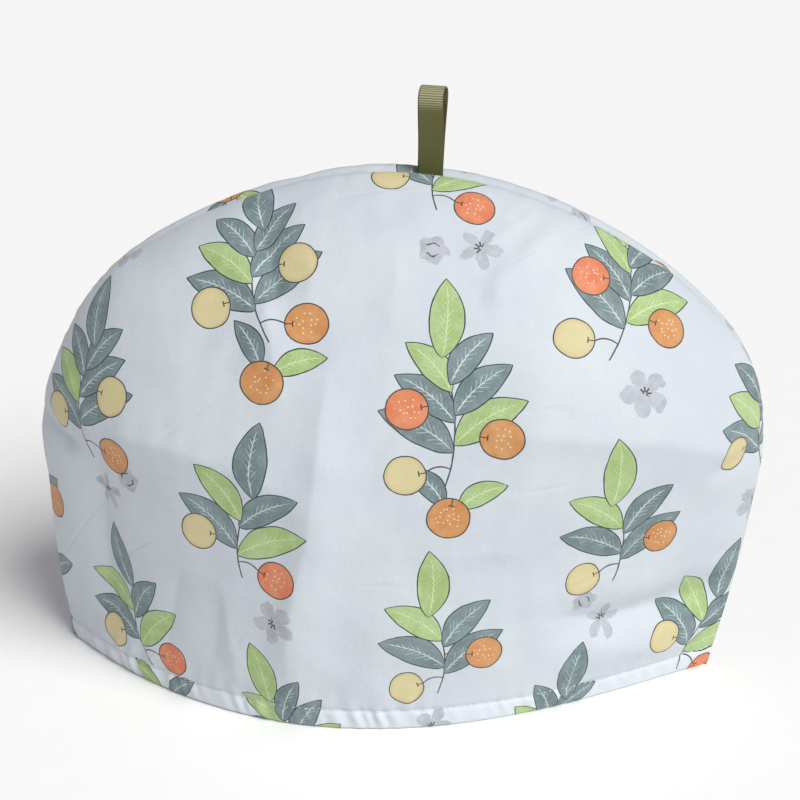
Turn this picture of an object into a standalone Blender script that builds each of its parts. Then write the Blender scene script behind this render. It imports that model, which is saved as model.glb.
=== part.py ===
"""A padded tea cosy: two half-dome cloth panels sewn together along a curved rim seam, open below, with a
ribbon hanging loop caught in the seam at the crown.

Metres, +Z up. The cosy stands on its hem at z = 0. The rim seam runs along X, and the front panel is at -Y.
"""

import math
from collections import namedtuple

import bmesh
import bpy
import numpy as np
from mathutils import Vector

# Driving dimensions of the cosy
HEIGHT = 0.265  # hem to the crest of the crown
CROWN_X = -0.004  # the crown sits a little left of the middle
HALF_WIDTH = 0.184
HALF_DEPTH = 0.084
WALL = 0.004  # outer cloth, wadding and inner cloth, sewn as one panel
SEAM_GAP = 0.0003  # between the two panels, face to face
SEAM_DIP = 0.0034  # how far the stitching pulls the rim in, at the left end of the seam
SEAM_DIP_RIGHT = 0.0024  # the same, at the right end
SEAM_WIDTH = 0.0046  # half width of the valley that the seam lies in
FADE_AT_SEAM = 0.013  # folds die out this near the seam
HEM_BAND = 0.020  # below this height nothing lifts the cloth off its level hem

# Driving dimensions of the ribbon loop
RIBBON_WIDTH = 0.012
RIBBON_THICKNESS = 0.001
RIBBON_X = 0.0155  # right of the crown's top
RIBBON_SEAT = 0.0007  # from the bottom of the seam's valley to the ribbon's ends
LOOP_HEIGHT = 0.0415
LOOP_GAP = 0.0098  # between the two plies, at the loop's widest
LOOP_FOOT_GAP = 0.0008  # between the two plies, where they are sewn in
LOOP_TWIST = math.radians(-11)  # from the foot to the top, clockwise as seen from above
LOOP_LEAN = 0.0012  # the top stands this far right of the foot

# How finely the surfaces are cut up
COLUMNS = 50
ROWS = 26
END_CROWDING = 0.72  # columns crowd towards the seam
PLY_STEPS = 14
BEND_STEPS = 12

# The cosy's horizontal sections. Each has the seam's x at its left and right end, how far the front and back panel
# stand out from the seam, the seam's own y at the left and right end, the shape of the two ends (1 is an elliptical
# end, and 2 is a pointed one, where the two panels meet at a sharp angle), and how far the front's fullest part is
# turned to the left, in radians.
Section = namedtuple("Section", "height left right front back seam_left seam_right end_left end_right turned")
SECTIONS = (
    Section(0.000, -0.180, 0.165, 0.080, 0.076, 0.003, -0.002, 2.10, 2.30, 0.085),
    Section(0.045, -0.184, 0.174, 0.084, 0.080, 0.002, -0.002, 1.80, 2.00, 0.070),
    Section(0.090, -0.184, 0.181, 0.085, 0.080, 0.001, -0.001, 1.50, 1.75, 0.055),
    Section(0.132, -0.183, 0.184, 0.082, 0.078, -0.001, -0.001, 1.20, 1.45, 0.040),
    Section(0.174, -0.168, 0.173, 0.073, 0.070, -0.004, 0.000, 1.05, 1.25, 0.000),
    Section(0.210, -0.144, 0.141, 0.059, 0.058, -0.006, 0.000, 1.00, 1.15, 0.000),
    Section(0.237, -0.104, 0.101, 0.043, 0.043, -0.006, -0.001, 1.00, 1.10, 0.000),
    Section(0.254, -0.065, 0.062, 0.025, 0.026, -0.005, -0.002, 1.00, 1.00, 0.000),
    Section(HEIGHT, CROWN_X, CROWN_X, 0.000, 0.000, -0.003, -0.003, 1.00, 1.00, 0.000),
)
BACK_TURNED = -0.5  # the back's fullest part is turned the other way, and by less

# Main folds: a line from one point to another, in x and height as seen from the front, with its depth (below zero
# is a trough) and its half width.
Fold = namedtuple("Fold", "x0 z0 x1 z1 depth width")
FRONT_FOLDS = (
    Fold(-0.162, 0.146, -0.150, 0.095, -0.0045, 0.0100),
    Fold(-0.150, 0.095, -0.142, 0.040, -0.0038, 0.0110),
    Fold(-0.184, 0.138, -0.166, 0.130, -0.0040, 0.0070),
    Fold(-0.076, 0.240, -0.050, 0.196, 0.0028, 0.0110),
    Fold(-0.060, 0.228, -0.034, 0.190, -0.0024, 0.0090),
    Fold(-0.026, 0.140, -0.046, 0.020, 0.0022, 0.0130),
    Fold(0.072, 0.240, 0.050, 0.222, 0.0016, 0.0060),
    Fold(0.162, 0.050, 0.096, 0.046, -0.0034, 0.0110),
    Fold(0.160, 0.034, 0.104, 0.026, 0.0020, 0.0110),
    Fold(0.184, 0.136, 0.162, 0.126, -0.0026, 0.0080),
    Fold(0.024, 0.092, 0.106, 0.086, -0.0016, 0.0180),
)
BACK_FOLDS = (
    Fold(-0.150, 0.118, -0.132, 0.034, -0.0038, 0.0110),
    Fold(-0.176, 0.132, -0.146, 0.122, -0.0030, 0.0090),
    Fold(-0.060, 0.226, -0.084, 0.150, 0.0024, 0.0120),
    Fold(-0.048, 0.262, -0.044, 0.236, -0.0034, 0.0090),
    Fold(0.030, 0.140, 0.012, 0.024, 0.0022, 0.0140),
    Fold(0.092, 0.200, 0.120, 0.110, -0.0026, 0.0120),
    Fold(0.150, 0.060, 0.096, 0.044, -0.0030, 0.0120),
)

Finish = namedtuple("Finish", "colour roughness metallic")
PRINTED_COTTON = Finish((0.72, 0.75, 0.80, 1.0), 0.85, 0.0)
OLIVE_RIBBON = Finish((0.10, 0.11, 0.035, 1.0), 0.55, 0.0)


def clear_scene():
    for thing in list(bpy.data.objects):
        bpy.data.objects.remove(thing)


def material(name, finish):
    made = bpy.data.materials.new(name)
    made.use_nodes = True
    shader = made.node_tree.nodes["Principled BSDF"]
    shader.inputs["Base Color"].default_value = finish.colour
    shader.inputs["Roughness"].default_value = finish.roughness
    shader.inputs["Metallic"].default_value = finish.metallic
    return made


def smooth_through(knots, values, at):
    """A smooth curve through values at knots, read at the given places."""
    slope = np.gradient(values, knots)
    piece = np.clip(np.searchsorted(knots, at, side="right") - 1, 0, len(knots) - 2)
    span = knots[piece + 1] - knots[piece]
    share = (at - knots[piece]) / span
    ease = share**2 * (3 - 2 * share)
    level = values[piece] + (values[piece + 1] - values[piece]) * ease
    leaving = slope[piece] * share * (1 - share) ** 2
    arriving = slope[piece + 1] * share**2 * (share - 1)
    return level + span * (leaving + arriving)


def section_at(climb):
    """The section at each climb, which is the angle whose sine is the share of the height."""
    knots = np.arcsin([section.height / HEIGHT for section in SECTIONS])
    columns = np.array(SECTIONS).T
    return Section(*(smooth_through(knots, column, climb) for column in columns))


def fold_lift(folds, x, z):
    """How far the folds lift the cloth at each place."""
    lift = np.zeros_like(x)
    for fold in folds:
        run_x, run_z = fold.x1 - fold.x0, fold.z1 - fold.z0
        length = math.hypot(run_x, run_z)
        along = ((x - fold.x0) * run_x + (z - fold.z0) * run_z) / length
        aside = ((x - fold.x0) * run_z - (z - fold.z0) * run_x) / length
        past = np.maximum(0, np.maximum(-along, along - length))
        lift += fold.depth * np.exp(-(aside**2 + past**2) / fold.width**2)
    return lift


def unit(vectors):
    return vectors / np.maximum(np.linalg.norm(vectors, axis=2, keepdims=True), 1e-9)


def panel_points(side, inset):
    """One face of a panel as rows of points from the hem up to the crown, each from the seam's left end to its
    right end. side is -1 for the front and 1 for the back, and inset is how deep the face lies in the wall."""
    share = np.linspace(0, 1, COLUMNS + 1)
    turn = math.pi * share - END_CROWDING / 2 * np.sin(2 * math.pi * share)
    turn, climb = np.meshgrid(turn, np.linspace(0, math.pi / 2, ROWS + 1))
    section = section_at(climb)
    across = (1 - np.cos(turn)) / 2
    half = (section.right - section.left) / 2
    end_shape = section.end_left + (section.end_right - section.end_left) * across
    fullest = section.turned * (1 if side < 0 else BACK_TURNED)
    reach = section.front if side < 0 else section.back
    stand_out = reach * np.maximum(np.sin(turn + fullest * np.sin(turn)), 0) ** end_shape
    from_seam = np.hypot(stand_out, half * (1 - np.abs(np.cos(turn))) * np.cos(climb))

    shrink = 1 - inset / np.array((HALF_WIDTH, HALF_DEPTH, HEIGHT))
    x = ((section.left + section.right) / 2 - half * np.cos(turn)) * shrink[0]
    z = HEIGHT * np.sin(climb) * shrink[2]
    smooth = np.stack([x, side * stand_out, z], axis=2)
    level_hem = np.minimum(1, z / HEM_BAND)

    outward = -side * unit(np.cross(np.gradient(smooth, axis=1), np.gradient(smooth, axis=0)))
    outward[..., 2] *= level_hem
    folds = FRONT_FOLDS if side < 0 else BACK_FOLDS
    lift = fold_lift(folds, x, z) * (1 - np.exp(-((from_seam / FADE_AT_SEAM) ** 2)))

    inward = -unit(np.stack([(x - CROWN_X) / HALF_WIDTH**2, np.zeros_like(x), z / HEIGHT**2], axis=2))
    inward[..., 2] *= level_hem
    dip = SEAM_DIP + (SEAM_DIP_RIGHT - SEAM_DIP) * (1 + x / HALF_WIDTH) / 2
    dip *= np.exp(-((from_seam / SEAM_WIDTH) ** 2))

    points = smooth + outward * lift[..., None] + inward * dip[..., None]
    seam_y = section.seam_left + (section.seam_right - section.seam_left) * across
    points[..., 1] = points[..., 1] * shrink[1] + seam_y + side * SEAM_GAP / 2
    return points


def shaped_grid(shape, points):
    """A grid of faces laid through rows of points. Returns its vertices, in the points' order."""
    rows, columns = points.shape[:2]
    made = bmesh.ops.create_grid(shape, x_segments=columns - 1, y_segments=rows - 1, size=1)["verts"]
    for vertex, place in zip(made, points.reshape(-1, 3)):
        vertex.co = Vector(place)
    return made


def add_object(name, shape, finish):
    mesh = bpy.data.meshes.new(name)
    shape.to_mesh(mesh)
    shape.free()
    mesh.shade_smooth()
    mesh.set_sharp_from_angle(angle=math.radians(50))
    mesh.materials.append(finish)
    made = bpy.data.objects.new(name, mesh)
    bpy.context.collection.objects.link(made)
    return made


def panel(name, side, finish):
    """A cloth panel with its wadding, from the hem to the rim seam."""
    shape = bmesh.new()
    for inset in (0, WALL):
        face = shaped_grid(shape, panel_points(side, inset))
        crown = face[-(COLUMNS + 1) :]
        bmesh.ops.remove_doubles(shape, verts=crown, dist=1e-6)
    rims = [edge for edge in shape.edges if edge.is_boundary]
    bmesh.ops.bridge_loops(shape, edges=rims)
    bmesh.ops.recalc_face_normals(shape, faces=shape.faces)
    return add_object(name, shape, finish)


def seam_at(x):
    """The y and the height of the seam's valley at a place right of the crown."""
    rim = panel_points(-1, 0)[::-1, -1]
    return np.interp(x, rim[:, 0], rim[:, 1]) + SEAM_GAP / 2, np.interp(x, rim[:, 0], rim[:, 2])


def loop_line():
    """The ribbon's middle line from its front foot over to its back foot, as y and height above the feet."""
    foot = (LOOP_FOOT_GAP + RIBBON_THICKNESS) / 2
    bend = (LOOP_GAP + RIBBON_THICKNESS) / 2
    straight = LOOP_HEIGHT - RIBBON_THICKNESS / 2 - bend
    rise = np.linspace(0, 1, PLY_STEPS + 1)
    spread = foot + (bend - foot) * rise**2 * (3 - 2 * rise)
    turn = np.linspace(0, math.pi, BEND_STEPS + 1)[1:-1]
    y = np.concatenate([-spread, -bend * np.cos(turn), spread[::-1]])
    z = np.concatenate([straight * rise, straight + bend * np.sin(turn), straight * rise[::-1]])
    return y, z


def ribbon_loop(name, finish):
    """The hanging loop: one length of ribbon, folded over, with both ends at the seam."""
    seam_y, seam_z = seam_at(RIBBON_X - RIBBON_WIDTH / 2)
    y, z = (values[:, None] for values in loop_line())
    across = RIBBON_WIDTH / 2 * np.array([[-1.0, 0.0, 1.0]])
    share = z / LOOP_HEIGHT
    twist = LOOP_TWIST * share
    points = np.stack(
        np.broadcast_arrays(
            RIBBON_X + LOOP_LEAN * share + across * np.cos(twist) - y * np.sin(twist),
            seam_y + across * np.sin(twist) + y * np.cos(twist),
            seam_z + RIBBON_SEAT + z,
        ),
        axis=2,
    )
    shape = bmesh.new()
    shaped_grid(shape, points)
    bmesh.ops.recalc_face_normals(shape, faces=shape.faces)
    loop = add_object(name, shape, finish)
    cloth = loop.modifiers.new("thickness", "SOLIDIFY")
    cloth.thickness = RIBBON_THICKNESS
    cloth.offset = 0
    cloth.use_even_offset = True
    return loop


def centre_footprint(pieces):
    """Moves the pieces so that the origin lies under the middle of the whole."""
    corners = np.array([corner for piece in pieces for corner in piece.bound_box])
    middle = (corners.min(axis=0) + corners.max(axis=0)) / 2
    for piece in pieces:
        for vertex in piece.data.vertices:
            vertex.co -= Vector((middle[0], middle[1], 0))


def main():
    clear_scene()
    cotton = material("printed_cotton", PRINTED_COTTON)
    ribbon = material("olive_ribbon", OLIVE_RIBBON)
    pieces = [
        panel("front_panel", -1, cotton),
        panel("back_panel", 1, cotton),
        ribbon_loop("hanging_loop", ribbon),
    ]
    centre_footprint(pieces)


main()
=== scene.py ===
"""A padded tea cosy of printed cotton: two half-dome panels sewn together along a curved rim seam, with a
turned-up and stitched hem, and a grosgrain ribbon loop caught in the seam at the crown.

Metres, +Z up. The cosy stands on its hem at z = 0, the rim seam runs along X, and the front panel is at -Y.
Sizes in the print's tables are in millimetres.
"""

import math
from collections import namedtuple

import bpy
import numpy as np
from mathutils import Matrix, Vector


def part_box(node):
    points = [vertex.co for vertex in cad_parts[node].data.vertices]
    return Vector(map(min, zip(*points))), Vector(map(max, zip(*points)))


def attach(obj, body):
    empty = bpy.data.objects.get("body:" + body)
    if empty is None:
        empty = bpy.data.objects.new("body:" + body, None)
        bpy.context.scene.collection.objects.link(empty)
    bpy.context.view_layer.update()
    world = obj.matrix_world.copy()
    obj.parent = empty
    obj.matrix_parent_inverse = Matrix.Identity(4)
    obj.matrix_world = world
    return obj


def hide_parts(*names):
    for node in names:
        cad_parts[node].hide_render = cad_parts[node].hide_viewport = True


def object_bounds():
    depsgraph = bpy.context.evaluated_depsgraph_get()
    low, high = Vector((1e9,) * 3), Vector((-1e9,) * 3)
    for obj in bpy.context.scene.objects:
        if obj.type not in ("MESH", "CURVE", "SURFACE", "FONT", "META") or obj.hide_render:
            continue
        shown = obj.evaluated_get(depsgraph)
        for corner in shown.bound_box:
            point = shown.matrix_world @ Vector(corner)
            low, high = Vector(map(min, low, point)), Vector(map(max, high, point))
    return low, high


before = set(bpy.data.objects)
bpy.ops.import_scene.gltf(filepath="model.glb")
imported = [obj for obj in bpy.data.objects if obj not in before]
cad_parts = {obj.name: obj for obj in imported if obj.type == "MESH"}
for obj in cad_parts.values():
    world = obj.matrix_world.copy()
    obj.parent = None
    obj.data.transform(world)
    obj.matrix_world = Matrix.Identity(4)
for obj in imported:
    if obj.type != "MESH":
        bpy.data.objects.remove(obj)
CAD_LOW, CAD_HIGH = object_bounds()

# The cosy's own sizes
HEIGHT = 0.265  # hem to the crest of the crown
CROWN_X = -0.004
HALF_WIDTH = 0.184
HALF_DEPTH = 0.084
WALL = 0.004  # outer cloth, wadding and inner cloth
SEAM_GAP = 0.0003
SEAM_DIP = 0.0034  # how far the stitching pulls the rim in, at the left end of the seam
SEAM_DIP_RIGHT = 0.0024
SEAM_WIDTH = 0.0046
FADE_AT_SEAM = 0.013
LEVEL_HEM = 0.020

# The hem: cloth turned up and stitched through
HEM_BAND = 0.0112  # hem's fold to its row of stitches
HEM_SWELL = 0.0005
HEM_GROOVE = 0.0009
HEM_ROUND = 0.0014
STITCH_LENGTH = 0.0024
STITCH_PITCH = 0.0033
THREAD = 0.00042

# The ribbon loop
RIBBON_WIDTH = 0.012
RIBBON_THICKNESS = 0.0008
RIBBON_X = 0.0155
RIBBON_SEAT = 0.0007
LOOP_HEIGHT = 0.0415
LOOP_GAP = 0.0098
LOOP_FOOT_GAP = 0.0008
LOOP_TWIST = math.radians(-11)
LOOP_LEAN = 0.0012
RIB_PITCH = 0.0011
RIB_HEIGHT = 0.00005
RIBBON_TUCK = 0.0022  # how far the sewn-in ends go down into the seam
RISE_STEPS, BEND_STEPS, STEPS_PER_RIB = 121, 81, 6
RIBBON_STRANDS = 15  # points across the ribbon
SELVEDGE_SHARE = 0.12  # how much of the ribbon's half width the ribs take to die away at its edge
EDGE_THINNING = 0.45
INNER_PLY = 0.1  # how far the map of the loop's inner side is set off from that of its outer side

# The cosy's horizontal sections, as in the model's source
Section = namedtuple("Section", "height left right front back seam_left seam_right end_left end_right turned")
SECTIONS = (
    Section(0.000, -0.180, 0.165, 0.080, 0.076, 0.003, -0.002, 2.10, 2.30, 0.085),
    Section(0.045, -0.184, 0.174, 0.084, 0.080, 0.002, -0.002, 1.80, 2.00, 0.070),
    Section(0.090, -0.184, 0.181, 0.085, 0.080, 0.001, -0.001, 1.50, 1.75, 0.055),
    Section(0.132, -0.183, 0.184, 0.082, 0.078, -0.001, -0.001, 1.20, 1.45, 0.040),
    Section(0.174, -0.168, 0.173, 0.073, 0.070, -0.004, 0.000, 1.05, 1.25, 0.000),
    Section(0.210, -0.144, 0.141, 0.059, 0.058, -0.006, 0.000, 1.00, 1.15, 0.000),
    Section(0.237, -0.104, 0.101, 0.043, 0.043, -0.006, -0.001, 1.00, 1.10, 0.000),
    Section(0.254, -0.065, 0.062, 0.025, 0.026, -0.005, -0.002, 1.00, 1.00, 0.000),
    Section(HEIGHT, CROWN_X, CROWN_X, 0.000, 0.000, -0.003, -0.003, 1.00, 1.00, 0.000),
)
BACK_TURNED = -0.5

# Main folds: from one point to another, in x and height as seen from the front, with depth and half width
Fold = namedtuple("Fold", "x0 z0 x1 z1 depth width")
FRONT_FOLDS = (
    Fold(-0.162, 0.146, -0.150, 0.095, -0.0012, 0.0110),
    Fold(-0.150, 0.095, -0.142, 0.040, -0.0012, 0.0120),
    Fold(-0.184, 0.138, -0.166, 0.130, -0.0040, 0.0070),
    Fold(-0.076, 0.240, -0.050, 0.196, 0.0016, 0.0120),
    Fold(-0.060, 0.228, -0.034, 0.190, -0.0006, 0.0110),
    Fold(-0.026, 0.140, -0.046, 0.020, 0.0022, 0.0130),
    Fold(0.072, 0.240, 0.050, 0.222, 0.0016, 0.0060),
    Fold(0.162, 0.050, 0.096, 0.046, -0.0034, 0.0110),
    Fold(0.160, 0.034, 0.104, 0.026, 0.0020, 0.0110),
    Fold(0.184, 0.136, 0.162, 0.126, -0.0026, 0.0080),
    Fold(0.024, 0.092, 0.106, 0.086, -0.0016, 0.0180),
)
BACK_FOLDS = (
    Fold(-0.150, 0.118, -0.132, 0.034, -0.0038, 0.0110),
    Fold(-0.176, 0.132, -0.146, 0.122, -0.0030, 0.0090),
    Fold(-0.060, 0.226, -0.084, 0.150, 0.0024, 0.0120),
    Fold(-0.048, 0.262, -0.044, 0.236, -0.0034, 0.0090),
    Fold(0.030, 0.140, 0.012, 0.024, 0.0022, 0.0140),
    Fold(0.092, 0.200, 0.120, 0.110, -0.0026, 0.0120),
    Fold(0.150, 0.060, 0.096, 0.044, -0.0030, 0.0120),
)

# The creases: crisp lines that run up or to the right through points in x and height, how far each lifts the cloth,
# and how far it falls away to the left of its run and to the right
Crease = namedtuple("Crease", "lift left right line")
CREST_ROUND = 0.0009
CREASE_FADE = 0.28  # share of its run over which a crease dies away at each end
FRONT_CREASES = (
    Crease(
        0.0052, 0.022, 0.022,
        ((-0.049, 0.012), (-0.045, 0.062), (-0.035, 0.107), (-0.032, 0.128), (-0.027, 0.176), (-0.024, 0.205)),
    ),
    Crease(-0.0040, 0.008, 0.016, ((-0.050, 0.212), (-0.056, 0.234), (-0.068, 0.250))),
    Crease(0.0010, 0.006, 0.004, ((-0.046, 0.164), (-0.053, 0.198), (-0.059, 0.226))),
    Crease(0.0013, 0.012, 0.016, ((-0.035, 0.200), (-0.036, 0.224), (-0.041, 0.240), (-0.044, 0.260))),
    Crease(-0.0052, 0.012, 0.022, ((-0.146, 0.016), (-0.148, 0.076), (-0.146, 0.114), (-0.143, 0.150))),
    Crease(0.0022, 0.005, 0.008, ((-0.143, 0.130), (-0.149, 0.151), (-0.163, 0.172))),
    Crease(0.0056, 0.032, 0.020, ((-0.156, 0.140), (-0.113, 0.145), (-0.063, 0.138), (-0.026, 0.118))),
    Crease(-0.0016, 0.010, 0.007, ((-0.090, 0.022), (-0.084, 0.042), (-0.078, 0.078))),
    Crease(0.0014, 0.005, 0.009, ((-0.072, 0.010), (-0.075, 0.038), (-0.080, 0.082))),
    Crease(-0.0014, 0.007, 0.006, ((-0.114, 0.026), (-0.107, 0.054), (-0.100, 0.082))),
    Crease(0.0008, 0.003, 0.004, ((0.040, 0.237), (0.055, 0.244), (0.070, 0.250))),
    Crease(0.0006, 0.003, 0.003, ((0.046, 0.246), (0.060, 0.252), (0.074, 0.256))),
    Crease(0.0058, 0.026, 0.020, ((0.030, 0.160), (0.080, 0.157), (0.130, 0.148), (0.184, 0.124))),
    Crease(-0.0042, 0.022, 0.009, ((0.066, 0.060), (0.110, 0.048), (0.140, 0.047), (0.176, 0.041))),
    Crease(0.0014, 0.007, 0.007, ((0.078, 0.044), (0.110, 0.033), (0.152, 0.014))),
    Crease(0.0014, 0.012, 0.008, ((0.004, 0.095), (0.034, 0.100), (0.074, 0.099))),
    Crease(-0.0008, 0.010, 0.009, ((0.076, 0.128), (0.104, 0.120), (0.136, 0.118))),
    Crease(0.0008, 0.007, 0.009, ((0.050, 0.050), (0.034, 0.084), (0.030, 0.112))),
    Crease(0.0010, 0.006, 0.004, ((0.150, 0.128), (0.166, 0.134), (0.182, 0.136))),
    Crease(-0.0008, 0.005, 0.006, ((0.152, 0.078), (0.166, 0.072), (0.178, 0.070))),
    Crease(0.0007, 0.008, 0.008, ((0.000, 0.200), (0.004, 0.224), (0.002, 0.246))),
)
BACK_CREASES = (
    Crease(0.0024, 0.018, 0.024, ((0.014, 0.018), (0.022, 0.070), (0.028, 0.124), (0.026, 0.170))),
    Crease(-0.0020, 0.020, 0.009, ((-0.140, 0.034), (-0.144, 0.084), (-0.140, 0.134))),
    Crease(0.0018, 0.022, 0.013, ((-0.128, 0.150), (-0.080, 0.158), (-0.034, 0.146), (0.006, 0.150))),
    Crease(-0.0018, 0.012, 0.010, ((-0.084, 0.160), (-0.070, 0.198), (-0.060, 0.234))),
    Crease(-0.0010, 0.006, 0.006, ((-0.044, 0.232), (-0.046, 0.246), (-0.050, 0.258))),
    Crease(-0.0016, 0.010, 0.014, ((0.120, 0.112), (0.106, 0.160), (0.092, 0.204))),
    Crease(0.0012, 0.010, 0.008, ((0.098, 0.048), (0.126, 0.056), (0.160, 0.064))),
    Crease(-0.0010, 0.007, 0.008, ((0.060, 0.024), (0.056, 0.052), (0.046, 0.088))),
    Crease(0.0008, 0.004, 0.004, ((0.050, 0.232), (0.062, 0.240), (0.076, 0.246))),
    Crease(0.0009, 0.008, 0.006, ((-0.080, 0.040), (-0.050, 0.046), (-0.012, 0.042))),
    Crease(-0.0009, 0.006, 0.008, ((-0.108, 0.030), (-0.104, 0.052), (-0.096, 0.080))),
)

# The fine relief: how far puckers, ripples and sags stand off the creased cloth
RIM_PUCKER = 0.00034
HEM_PUCKER, HEM_RIPPLE = 0.00085, 0.00050
SAG, RUFFLE = 0.00060, 0.00026
CREASE_HOLD, CREASE_HOLD_HEM = 0.009, 0.012  # how near the seam and the hem the creases die away

# How finely the cloth is cut up
COLUMNS = 360
CROWD = 0.22  # share of the columns that crowd towards each end of the seam
ROWS = 178
HEM_ROWS = (0, 0.0003, 0.0008, 0.0015, 0.0026, 0.0040, 0.0055, 0.0070, 0.0082, 0.0092, 0.0102, 0.0112, 0.0122, 0.0132)
LINING_STEP = 3  # the inner face has every third row and column
FLAT_COLUMNS, FLAT_ROWS = 60, 36  # the coarse grid that is laid flat
SOURCE_COLUMNS, SOURCE_ROWS = 120, 80  # the grid that the model's source measures its footprint on


def smooth_through(knots, values, at):
    """A smooth curve through values at knots, read at the given places."""
    slope = np.gradient(values, knots)
    piece = np.clip(np.searchsorted(knots, at, side="right") - 1, 0, len(knots) - 2)
    span = knots[piece + 1] - knots[piece]
    share = (at - knots[piece]) / span
    ease = share**2 * (3 - 2 * share)
    level = values[piece] + (values[piece + 1] - values[piece]) * ease
    leaving = slope[piece] * share * (1 - share) ** 2
    arriving = slope[piece + 1] * share**2 * (share - 1)
    return level + span * (leaving + arriving)


def section_at(climb):
    knots = np.arcsin([section.height / HEIGHT for section in SECTIONS])
    columns = np.array(SECTIONS).T
    return Section(*(smooth_through(knots, column, climb) for column in columns))


def fold_lift(folds, x, z):
    """How far the folds lift the cloth at each place."""
    lift = np.zeros_like(x)
    for fold in folds:
        run_x, run_z = fold.x1 - fold.x0, fold.z1 - fold.z0
        length = math.hypot(run_x, run_z)
        along = ((x - fold.x0) * run_x + (z - fold.z0) * run_z) / length
        aside = ((x - fold.x0) * run_z - (z - fold.z0) * run_x) / length
        past = np.maximum(0, np.maximum(-along, along - length))
        lift += fold.depth * np.exp(-(aside**2 + past**2) / fold.width**2)
    return lift


def crease_lift(creases, x, z):
    """How far the creases lift the cloth at each place."""
    lift = np.zeros_like(x)
    for crease in creases:
        nearest, to_left, run = np.full_like(x, np.inf), np.zeros(x.shape, dtype=bool), np.zeros_like(x)
        length = 0.0
        for (x0, z0), (x1, z1) in zip(crease.line, crease.line[1:]):
            stretch = math.hypot(x1 - x0, z1 - z0)
            way_x, way_z = (x1 - x0) / stretch, (z1 - z0) / stretch
            along = np.clip((x - x0) * way_x + (z - z0) * way_z, 0, stretch)
            off_x, off_z = x - x0 - way_x * along, z - z0 - way_z * along
            away = np.hypot(off_x, off_z)
            closer = away < nearest
            nearest = np.where(closer, away, nearest)
            to_left = np.where(closer, way_x * off_z - way_z * off_x > 0, to_left)
            run = np.where(closer, length + along, run)
            length += stretch
        alive = np.clip(np.minimum(run, length - run) / (length * CREASE_FADE), 0, 1)
        fall = (np.hypot(nearest, CREST_ROUND) - CREST_ROUND) / np.where(to_left, crease.left, crease.right)
        lift += crease.lift * alive**2 * (3 - 2 * alive) * np.exp(-fall)
    return lift


def unit(vectors):
    return vectors / np.maximum(np.linalg.norm(vectors, axis=-1, keepdims=True), 1e-9)


def warp_lines(count):
    """Where the columns of the grid run: their turn round the panel, from the seam's left end to its right end."""
    line = np.linspace(-1, 1, count + 1)
    rate = 1 / (1 - CROWD / 2)
    inner = np.abs(line)
    across = np.where(inner < 1 - CROWD, rate * inner, 1 - rate * (1 - inner) ** 2 / (2 * CROWD))
    return line, np.arccos(np.clip(-np.sign(line) * across, -1, 1))


def weft_lines(count, hem_rows=()):
    """The climb of each row of the grid, from the hem up to the crown."""
    hem = np.arcsin(np.array(hem_rows) / HEIGHT)
    start = hem[-1] if len(hem) else 0.0
    rest = np.linspace(start, math.pi / 2, count + 1)
    return np.concatenate([hem[:-1], rest]) if len(hem) else rest


Cloth = namedtuple("Cloth", "points outward from_seam along_rim")


def cloth_face(side, inset, turns, climbs):
    """One face of a panel with its main folds, as rows of points from the hem up to the crown. side is -1 for the
    front and 1 for the back, and inset is how deep the face lies in the wall."""
    turn, climb = np.meshgrid(turns, climbs)
    section = section_at(climb)
    across = (1 - np.cos(turn)) / 2
    half = (section.right - section.left) / 2
    end_shape = section.end_left + (section.end_right - section.end_left) * across
    fullest = section.turned * (1 if side < 0 else BACK_TURNED)
    reach = section.front if side < 0 else section.back
    stand_out = reach * np.maximum(np.sin(turn + fullest * np.sin(turn)), 0) ** end_shape
    from_seam = np.hypot(stand_out, half * (1 - np.abs(np.cos(turn))) * np.cos(climb))

    shrink = 1 - inset / np.array((HALF_WIDTH, HALF_DEPTH, HEIGHT))
    x = ((section.left + section.right) / 2 - half * np.cos(turn)) * shrink[0]
    z = HEIGHT * np.sin(climb) * shrink[2]
    smooth = np.stack([x, side * stand_out, z], axis=2)
    level_hem = np.minimum(1, z / LEVEL_HEM)

    outward = -side * unit(np.cross(np.gradient(smooth, axis=1), np.gradient(smooth, axis=0)))
    outward[..., 2] *= level_hem
    clear = 1 - np.exp(-((from_seam / FADE_AT_SEAM) ** 2))
    lift = fold_lift(FRONT_FOLDS if side < 0 else BACK_FOLDS, x, z) * clear

    inward = -unit(np.stack([(x - CROWN_X) / HALF_WIDTH**2, np.zeros_like(x), z / HEIGHT**2], axis=2))
    inward[..., 2] *= level_hem
    dip = SEAM_DIP + (SEAM_DIP_RIGHT - SEAM_DIP) * (1 + x / HALF_WIDTH) / 2
    dip *= np.exp(-((from_seam / SEAM_WIDTH) ** 2))

    points = smooth + outward * lift[..., None] + inward * dip[..., None]
    seam_y = section.seam_left + (section.seam_right - section.seam_left) * across
    points[..., 1] = points[..., 1] * shrink[1] + seam_y + side * SEAM_GAP / 2
    along_rim = np.arctan2(z, x - CROWN_X) * (HALF_WIDTH + HEIGHT) / 2
    return Cloth(points, outward, from_seam, along_rim)


def uneven(place, pitch, seed):
    """A soft uneven wave along a line, never quite the same twice, between about -1 and 1."""
    phase = 2 * math.pi * place / pitch
    return (
        np.sin(phase + 1.7 * np.sin(phase * 0.23 + seed) + seed)
        + 0.6 * np.sin(phase * 0.61 + 2.3 * seed + 1.1 * np.sin(phase * 0.11))
    ) / 1.4


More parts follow.
